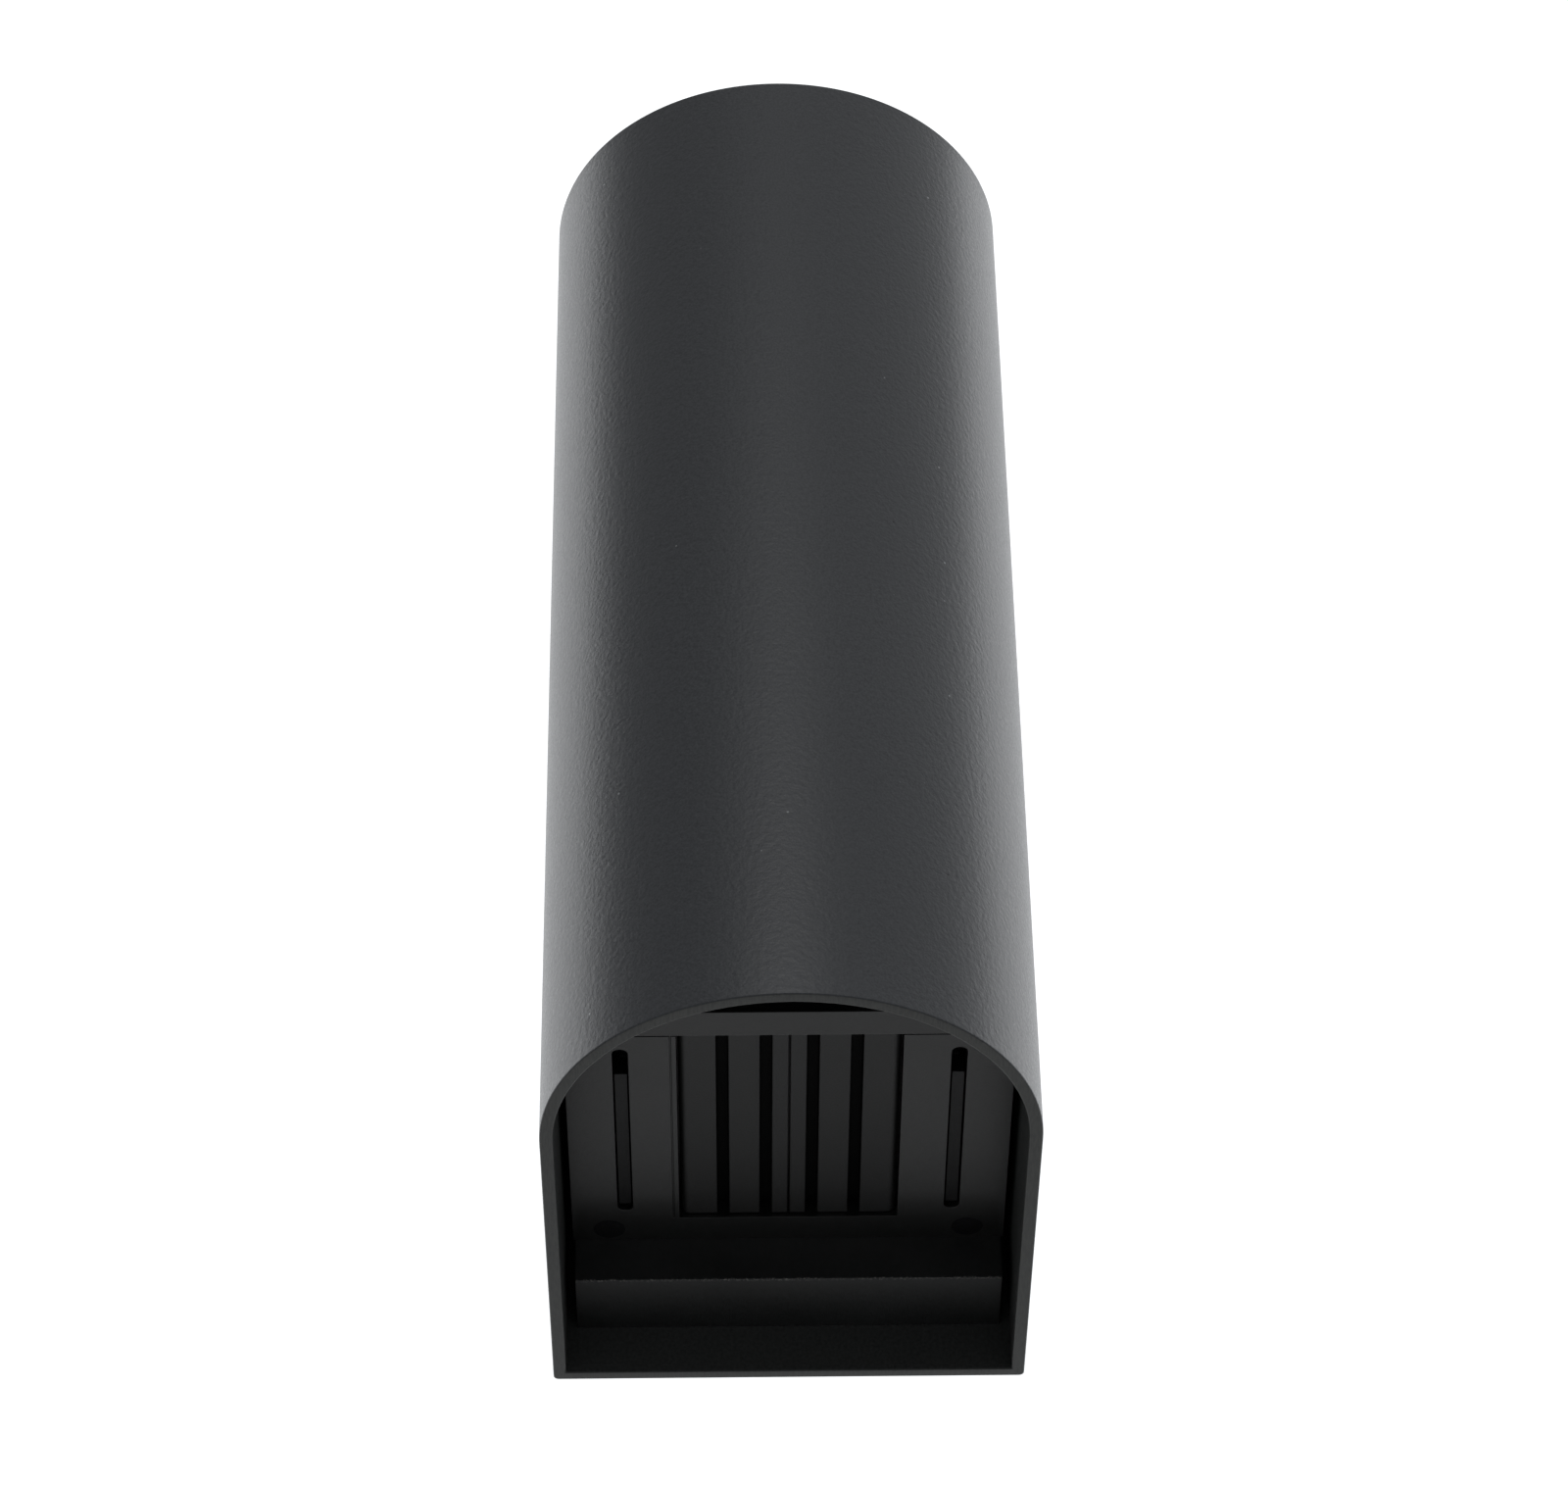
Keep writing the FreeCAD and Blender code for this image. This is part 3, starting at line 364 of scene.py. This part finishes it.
def cut_at(bm, faces, point, normal):
    """Cuts the given faces with a plane and leaves both halves."""
    edges = [e for f in faces for e in f.edges]
    points = [v for f in faces for v in f.verts]
    geom = list(dict.fromkeys([*faces, *edges, *points]))
    bmesh.ops.bisect_plane(bm, geom=geom, dist=MERGE, plane_co=point, plane_no=normal)


def show(name, data):
    """Puts a mesh, a light or a camera into the scene."""
    thing = bpy.data.objects.new(name, data)
    bpy.context.scene.collection.objects.link(thing)
    return thing


def finish_piece(name, bm, *looks):
    """Turns a finished bmesh into a smooth object at the origin, with the named finishes."""
    bmesh.ops.remove_doubles(bm, verts=bm.verts[:], dist=MERGE)
    mesh = bpy.data.meshes.new(name)
    bm.to_mesh(mesh)
    bm.free()
    for look in looks:
        mesh.materials.append(finishes[look])
    for face in mesh.polygons:
        face.use_smooth = True
    print(name, len(mesh.polygons), "faces")
    return show(name, mesh)


# %% Spin, extrude and thicken the tube
def tube_skin():
    bm = bmesh.new()
    corner = bm.verts.new((TUBE_HALF_WIDTH, ARC_Y, -TUBE_HALF_LENGTH))
    bmesh.ops.spin(bm, geom=[corner], cent=(0, ARC_Y, 0), axis=(0, 0, 1), angle=-math.pi,
                   steps=96, use_merge=False)
    far_corner = Vector((-TUBE_HALF_WIDTH, ARC_Y, -TUBE_HALF_LENGTH))
    end = min(bm.verts, key=lambda v: (v.co - far_corner).length)
    right = bm.verts.new((TUBE_HALF_WIDTH, 0, -TUBE_HALF_LENGTH))
    left = bm.verts.new((-TUBE_HALF_WIDTH, 0, -TUBE_HALF_LENGTH))
    for pair in ((corner, right), (right, left), (left, end)):
        bm.edges.new(pair)
    top = points_of(bmesh.ops.extrude_edge_only(bm, edges=bm.edges[:])["geom"])
    bmesh.ops.translate(bm, verts=top, vec=(0, 0, 2 * TUBE_HALF_LENGTH))
    bmesh.ops.recalc_face_normals(bm, faces=bm.faces[:])
    return bm


def open_window(bm):
    """Cuts the middle out of the back wall."""
    def back():
        return [f for f in bm.faces if abs(f.calc_center_median().y) < SAME]

    for side in (-1, 1):
        cut_at(bm, back(), (0, 0, WINDOW_HALF_LENGTH * side), (0, 0, 1))
        cut_at(bm, back(), (WINDOW_HALF_WIDTH * side, 0, 0), (1, 0, 0))
    middle = [f for f in back() if abs(f.calc_center_median().x) < WINDOW_HALF_WIDTH
              and abs(f.calc_center_median().z) < WINDOW_HALF_LENGTH]
    bmesh.ops.delete(bm, geom=middle, context="FACES")


tube = tube_skin()
open_window(tube)
inside = Vector((0, -0.06, 0))
if min(f.normal.dot(f.calc_center_median() - inside) for f in tube.faces) < 0:
    bmesh.ops.reverse_faces(tube, faces=tube.faces[:])
bmesh.ops.solidify(tube, geom=tube.faces[:], thickness=TUBE_WALL)
print("tube skin thickened:", len(tube.faces), "faces")

# %% [markdown]
# Each side of the tube has a hole for the screw that locks it to its wall plate, with a seat that
# lets the screw's head lie flush. A boolean would leave long triangles in the wall here too. So a
# square patch is cut out of both skins of the wall, its border is extruded onto a circle, and the
# circle again down to the seat, in to the shank's hole and through, where it meets the ring of the
# inner skin.

# %% Helpers for round holes
LOCK_HEIGHT, LOCK_SEAT_DEPTH = 9 * MM, 1.5 * MM
LOCK_SEAT_RADIUS, LOCK_HOLE_RADIUS = 3.65 * MM, 2.15 * MM
PATCH_HALF = 5 * MM
CUTS = 7


def open_patch(bm, x):
    """Cuts a square out of the side wall at x, and gives back its border in 32 short edges."""
    def side_wall():
        return [f for f in bm.faces if abs(f.calc_center_median().x - x) < SAME
                and abs(f.normal.x) > 0.99]

    for offset in (-PATCH_HALF, PATCH_HALF):
        cut_at(bm, side_wall(), (0, 0, offset), (0, 0, 1))
        cut_at(bm, side_wall(), (0, offset - LOCK_HEIGHT, 0), (0, 1, 0))
    patch = [f for f in side_wall() if abs(f.calc_center_median().z) < PATCH_HALF
             and abs(f.calc_center_median().y + LOCK_HEIGHT) < PATCH_HALF]
    border = [e for f in patch for e in f.edges]
    bmesh.ops.delete(bm, geom=patch, context="FACES_ONLY")
    points = points_of(bmesh.ops.subdivide_edges(bm, edges=border, cuts=CUTS)["geom_inner"])
    return [e for e in bm.edges if e.is_boundary and any(v in points for v in e.verts)]


def edges_among(points):
    """The edges that join the given points, each once."""
    return list(dict.fromkeys(e for v in points for e in v.link_edges if e.other_vert(v) in points))


def next_ring(bm, edges, x, radius):
    """Extrudes a ring of edges and sets the new ring on a circle round the screw's axis."""
    made = points_of(bmesh.ops.extrude_edge_only(bm, edges=edges)["geom"])
    for v in made:
        away = Vector((0, v.co.y + LOCK_HEIGHT, v.co.z)).normalized()
        v.co = Vector((x, -LOCK_HEIGHT, 0)) + away * radius
    return edges_among(made)


# %% The lock screw holes
def lock_hole(bm, side):
    outer, inner = TUBE_HALF_WIDTH * side, (TUBE_HALF_WIDTH - TUBE_WALL) * side
    seat = (TUBE_HALF_WIDTH - LOCK_SEAT_DEPTH) * side
    bm.normal_update()
    ring = open_patch(bm, outer)
    for x, radius in ((outer, LOCK_SEAT_RADIUS), (seat, LOCK_SEAT_RADIUS),
                      (seat, LOCK_HOLE_RADIUS), (inner, LOCK_HOLE_RADIUS)):
        ring = next_ring(bm, ring, x, radius)
    next_ring(bm, open_patch(bm, inner), inner, LOCK_HOLE_RADIUS)
    bmesh.ops.remove_doubles(bm, verts=bm.verts[:], dist=SAME)


for side in (-1, 1):
    lock_hole(tube, side)
bmesh.ops.recalc_face_normals(tube, faces=tube.faces[:])
open_edges = sum(e.is_boundary for e in tube.edges)
print("tube with its lock screw holes:", len(tube.faces), "faces,", open_edges, "open edges")

# %% [markdown]
# An extruded corner is never quite sharp, and a sawn edge is broken with a file. The two long
# corners at the back get a millimetre, the rims a third of that, and the rims then show as a thin
# line of light. A Bevel modifier would round the window and the holes as well, so the edges are
# picked by their place and bevelled in the mesh.

# %% Round the corners and ease the sawn rims
CORNER_ROUND, RIM_ROUND = 1.0 * MM, 0.3 * MM


def outer_corners(bm):
    """The two long edges between the back wall and the sides."""
    for edge in bm.edges:
        if all(abs(abs(v.co.x) - TUBE_HALF_WIDTH) < SAME and abs(v.co.y) < SAME
               for v in edge.verts):
            yield edge


def rim_edges(bm):
    """The edges between a sawn end and a wall face."""
    for edge in bm.edges:
        if len(edge.link_faces) == 2:
            sawn = [abs(f.normal.z) > 0.99
                    and abs(abs(f.calc_center_median().z) - TUBE_HALF_LENGTH) < 0.01 * MM
                    for f in edge.link_faces]
            if sawn[0] != sawn[1]:
                yield edge


def bevel(bm, edges, width, segments):
    bm.normal_update()
    bmesh.ops.bevel(bm, geom=list(edges), offset=width, offset_type="OFFSET", affect="EDGES",
                    segments=segments, profile=0.5, material=-1, clamp_overlap=True)


bevel(tube, outer_corners(tube), CORNER_ROUND, 5)
bevel(tube, rim_edges(tube), RIM_ROUND, 3)
print("tube with eased rims:", len(tube.faces), "faces")

# %% [markdown]
# The tube's mesh becomes an object that rides the lamp in place of the construction solid. Its
# faces are sorted by place into coated ones, inside ones with the painted shade, and faced rims
# whose lighter grey is partly painted light. Smooth shading alone would bend the light on the flat
# walls near each rounded edge, so the normals are weighted by area and the large faces stay flat.

# %% Show the tube
INSIDE_SHADE, FACED_AND_LIT = 1, 2
SHARP_ANGLE = math.radians(35)


def keep_faces_flat(piece):
    """Turns the shading of rounded edges towards their large faces, which then look flat."""
    piece.data.set_sharp_from_angle(angle=SHARP_ANGLE)
    weighted = piece.modifiers.new("flat faces stay flat", "WEIGHTED_NORMAL")
    weighted.weight = 100
    weighted.keep_sharp = True


shell = finish_piece("tube_skin", tube, "shell_powder_coat", "thin_coat", "faced_rim")
middle_of_wall = TUBE_HALF_WIDTH - TUBE_WALL / 2
for face in shell.data.polygons:
    x, y, z = face.center
    from_middle = math.hypot(x, y - ARC_Y) if y < ARC_Y else abs(x)
    # the sawn ends get the faced rims, whose lighter grey is partly painted light
    if abs(z) > TUBE_HALF_LENGTH - 0.05 * MM:
        face.material_index = FACED_AND_LIT
    # faces inside the tube get the darker, duller coat: painted shade
    elif from_middle < middle_of_wall and y < -TUBE_WALL / 2:
        face.material_index = INSIDE_SHADE
print("thinly coated faces:", sum(f.material_index == INSIDE_SHADE for f in shell.data.polygons))
keep_faces_flat(shell)
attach(shell, "lamp")
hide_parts("tube_shell")

# %% [markdown]
# The lock screws are the only fasteners that show while the lamp hangs, so they get a real head: a
# hexagon socket, a flat face and a broken edge. The socket could be bump, but its depth shows from
# the side. A hexagon is divided into 48 short edges, and the same rings as for the hole go out
# to the edge of the head, down to the seat and along the shank.

# %% The lock screws
SOCKET_RADIUS, SOCKET_DEPTH = 1.5 * MM, 1.1 * MM
HEAD_RADIUS, HEAD_EDGE, SHANK_RADIUS = 3.5 * MM, 0.2 * MM, 2 * MM
shank_end = min(abs(v.co.x) for v in nodes["lock_screws"].data.vertices)


def lock_screw(bm, side):
    head, seat = TUBE_HALF_WIDTH * side, (TUBE_HALF_WIDTH - LOCK_SEAT_DEPTH) * side
    turned = Matrix.Translation((head, -LOCK_HEIGHT, 0)) @ Matrix.Rotation(math.pi / 2, 4, "Y")
    hexagon = bmesh.ops.create_circle(bm, segments=6, radius=SOCKET_RADIUS, matrix=turned)["verts"]
    bmesh.ops.subdivide_edges(bm, edges=edges_among(hexagon), cuts=CUTS)
    ring = [e for e in bm.edges if not e.link_faces]
    floor = points_of(bmesh.ops.extrude_edge_only(bm, edges=ring)["geom"])
    bmesh.ops.translate(bm, verts=floor, vec=(-SOCKET_DEPTH * side, 0, 0))
    bmesh.ops.contextual_create(bm, geom=edges_among(floor))
    for x, radius in ((head, HEAD_RADIUS - HEAD_EDGE), (head - HEAD_EDGE * side, HEAD_RADIUS),
                      (seat, HEAD_RADIUS), (seat, SHANK_RADIUS), (shank_end * side, SHANK_RADIUS)):
        ring = next_ring(bm, ring, x, radius)
    bmesh.ops.contextual_create(bm, geom=ring)


screws = bmesh.new()
for side in (-1, 1):
    lock_screw(screws, side)
bmesh.ops.recalc_face_normals(screws, faces=screws.faces[:])
heads = finish_piece("lock_screw_heads", screws, "black_steel")
keep_faces_flat(heads)
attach(heads, "lamp")
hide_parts("lock_screws")

# %% [markdown]
# The black pieces at the mouth are machined, so each edge is broken by a hair's width and shows as
# a thin line of light. The construction solids have sharp edges. They could be modelled again, but
# their shapes are right, so a copy of each is joined up, its flat faces are merged, and a small
# bevel is put on every corner sharper than thirty degrees.

# %% Break the edges of the machined pieces
FINE_EDGE, SOFT_EDGE = 0.15 * MM, 0.2 * MM
FLAT_ANGLE, CORNER_ANGLE = math.radians(1), math.radians(30)


def eased_copy(name, body, width, finish):
    bm = bmesh.new()
    bm.from_mesh(nodes[name].data)
    bmesh.ops.remove_doubles(bm, verts=bm.verts[:], dist=SAME)
    bmesh.ops.dissolve_limit(bm, angle_limit=FLAT_ANGLE, verts=bm.verts[:], edges=bm.edges[:])
    piece = finish_piece(name + "_eased", bm, finish)
    rounding = piece.modifiers.new("broken edges", "BEVEL")
    rounding.width = width
    rounding.segments = 2
    rounding.limit_method = "ANGLE"
    rounding.angle_limit = CORNER_ANGLE
    keep_faces_flat(piece)
    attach(piece, body)
    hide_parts(name)
    return piece


for end in ("lower", "upper"):
    eased_copy("end_frame_" + end, "lamp", FINE_EDGE, "frame_black")
eased_copy("core_cover", "lamp", SOFT_EDGE, "frame_black")
eased_copy("base_box", "lamp", FINE_EDGE, "base_black")
for side in ("left", "right"):
    eased_copy("heat_sink_" + side, "lamp", FINE_EDGE, "sink_black")

# %% [markdown]
# The flaps carry two deep grooves each. Their faces get a matt near black that is painted shade,
# since little light reaches the bottom of a deep groove, and from the front they read as four black
# lines. They could be a node of their own, but they are cut from the leaf and turn with it, so
# their faces are found by place and get the painted shade.

# %% The flaps and their grooves
LEAF_INSIDE, LEAF_OUTSIDE = 88.9 * MM, 92.5 * MM
GROOVES_FROM_X, GROOVES_TO_X = 1 * MM, 17 * MM
GROOVES_FROM_Y, GROOVES_TO_Y = 27.5 * MM, 85 * MM
SKIN = 0.3 * MM


def in_groove(face):
    """Whether a face lies between the leaf's two sides and between its edges."""
    x, y, z = (abs(c) for c in face.center)
    return (GROOVES_FROM_X < x < GROOVES_TO_X and GROOVES_FROM_Y < y < GROOVES_TO_Y
            and LEAF_INSIDE + SKIN < z < LEAF_OUTSIDE - SKIN)


for end in ("lower", "upper"):
    for side in ("left", "right"):
        leaf = eased_copy(f"beam_flap_{end}_{side}", f"flap_{end}_{side}", SOFT_EDGE, "flap_black")
        # the groove faces get the matt near black that is painted shade
        leaf.data.materials.append(finishes["groove_black"])
        grooved = [f for f in leaf.data.polygons if in_groove(f)]
        for face in grooved:
            face.material_index = 1
        print(leaf.name, "has", len(grooved), "groove faces")

# %% [markdown]
# The photograph is a product shot on white. The lamp floats on its wall side, so the studio is a
# pale sweep: a floor far below, a wall far behind and a cove between them. It glows by itself, so
# it stays pale without lamps that would show in the coat. In the photograph the inside of the mouth
# grows darker towards the wall, because little light comes from below, so the sweep lights the lamp
# less from its floor than from its wall, and the eye sees all of it white.

# %% The pale sweep
REACH = 7.0
FLOOR, WALL, WALL_TOP, COVE = -1.2, 1.3, 4.5, 0.6


def pale_sweep():
    bm = bmesh.new()
    front = bm.verts.new((-REACH, -REACH, FLOOR))
    turn = bm.verts.new((-REACH, WALL - COVE, FLOOR))
    bm.edges.new((front, turn))
    bmesh.ops.spin(bm, geom=[turn], cent=(-REACH, WALL - COVE, FLOOR + COVE), axis=(1, 0, 0),
                   angle=math.pi / 2, steps=24, use_merge=False)
    foot = max(bm.verts, key=lambda v: v.co.y)
    bm.edges.new((foot, bm.verts.new((-REACH, WALL, WALL_TOP))))
    far = points_of(bmesh.ops.extrude_edge_only(bm, edges=bm.edges[:])["geom"])
    bmesh.ops.translate(bm, verts=far, vec=(2 * REACH, 0, 0))
    return bm


paper = Finish("pale_paper", 0.9)
at = paper.parts_of(paper.place)
floor_to_wall = paper.ramp(at["Z"], -1.0, -0.05, 0.06, 1.4)
middle_to_sides = paper.ramp(paper.size_of(at["X"]), 0.6, 3.0, 1.0, 1.4)
glow = paper.times(floor_to_wall, middle_to_sides)
paper.wear(
    Base_Color=(0.22, 0.22, 0.22),
    Emission_Color=(0.97, 0.985, 1.0),
    Emission_Strength=paper.by_eye(glow, paper.ramp(at["Z"], FLOOR, 0.3, 0.88, 1.1)),
)
sweep = finish_piece("pale_sweep", pale_sweep(), "pale_paper")

# %% [markdown]
# The room behind the camera is dim, a little lighter on the right and towards the ceiling. An image
# of a studio could light it, but two ramps on the direction say the same and can be read. The eye
# sees the room white as well, so the views from the back match the sweep.

# %% The room
world = bpy.data.worlds.new("pale_room")
bpy.context.scene.world = world
world.use_nodes = True
room = Wiring(world.node_tree)
towards = room.parts_of(room.add("ShaderNodeTexCoord").outputs["Generated"])
left_to_right = room.ramp(towards["X"], -0.8, 0.8, 0.22, 0.50)
level_to_ceiling = room.ramp(towards["Z"], 0.4, 0.9, 0.95, 1.5)
background = room.tree.nodes["Background"].inputs
room.plug(background["Color"], (0.98, 0.99, 1.0))
room.plug(background["Strength"], room.by_eye(room.times(left_to_right, level_to_ceiling), 1.0))
print("the room has", len(room.tree.nodes), "nodes")

# %% [markdown]
# A soft box high behind the camera draws the long quiet highlight down the front of the tube. A
# point lamp would leave a small hard spot on the coat; a wide panel spreads it over the round of
# the front.

# %% The soft box
BOX_PLACE, BOX_AIM = Vector((-0.10, -1.85, 0.68)), Vector((0, -0.06, 0))

light = bpy.data.lights.new("front_box", "AREA")
light.shape = "RECTANGLE"
light.size, light.size_y = 0.85, 0.6
light.energy = 4.2
box = show("front_box", light)
box.location = BOX_PLACE
box.rotation_mode = "QUATERNION"
box.rotation_quaternion = (BOX_AIM - BOX_PLACE).to_track_quat("-Z", "Y")
print("the soft box stands", round((BOX_AIM - BOX_PLACE).length, 2), "m from the lamp")

# %% [markdown]
# The camera stands in front of and below the lamp and looks up at its lower mouth through a long
# lens. It could be placed by eye, but the corners of the tube and of its inner pieces were fitted
# to the photograph, which gives all seven numbers at once: three angles, a place and the lens.

# %% The camera
YAW, PITCH, ROLL = (math.radians(angle) for angle in (1.069, 51.141, 0.412))
CAMERA_PLACE = Vector((-0.0109, -0.7971, -0.5990))

ahead = Vector((math.sin(YAW) * math.cos(PITCH), math.sin(PITCH), math.cos(YAW) * math.cos(PITCH)))
level_right = Vector((math.cos(YAW), 0, -math.sin(YAW)))
level_up = level_right.cross(ahead)
right = math.cos(ROLL) * level_right + math.sin(ROLL) * level_up
up = math.cos(ROLL) * level_up - math.sin(ROLL) * level_right
turn = Matrix((right, up, -ahead)).transposed().to_4x4()

lens = bpy.data.cameras.new("camera")
lens.lens, lens.sensor_width = 111.13, 36.0
lens.clip_start, lens.clip_end = 0.01, 50.0
camera = show("camera", lens)
camera.matrix_world = Matrix.Translation(CAMERA_PLACE) @ turn
bpy.context.scene.camera = camera
bpy.context.scene.view_settings.view_transform = "Standard"
print("the camera stands", round(CAMERA_PLACE.length, 2), "m from the middle of the lamp's back")
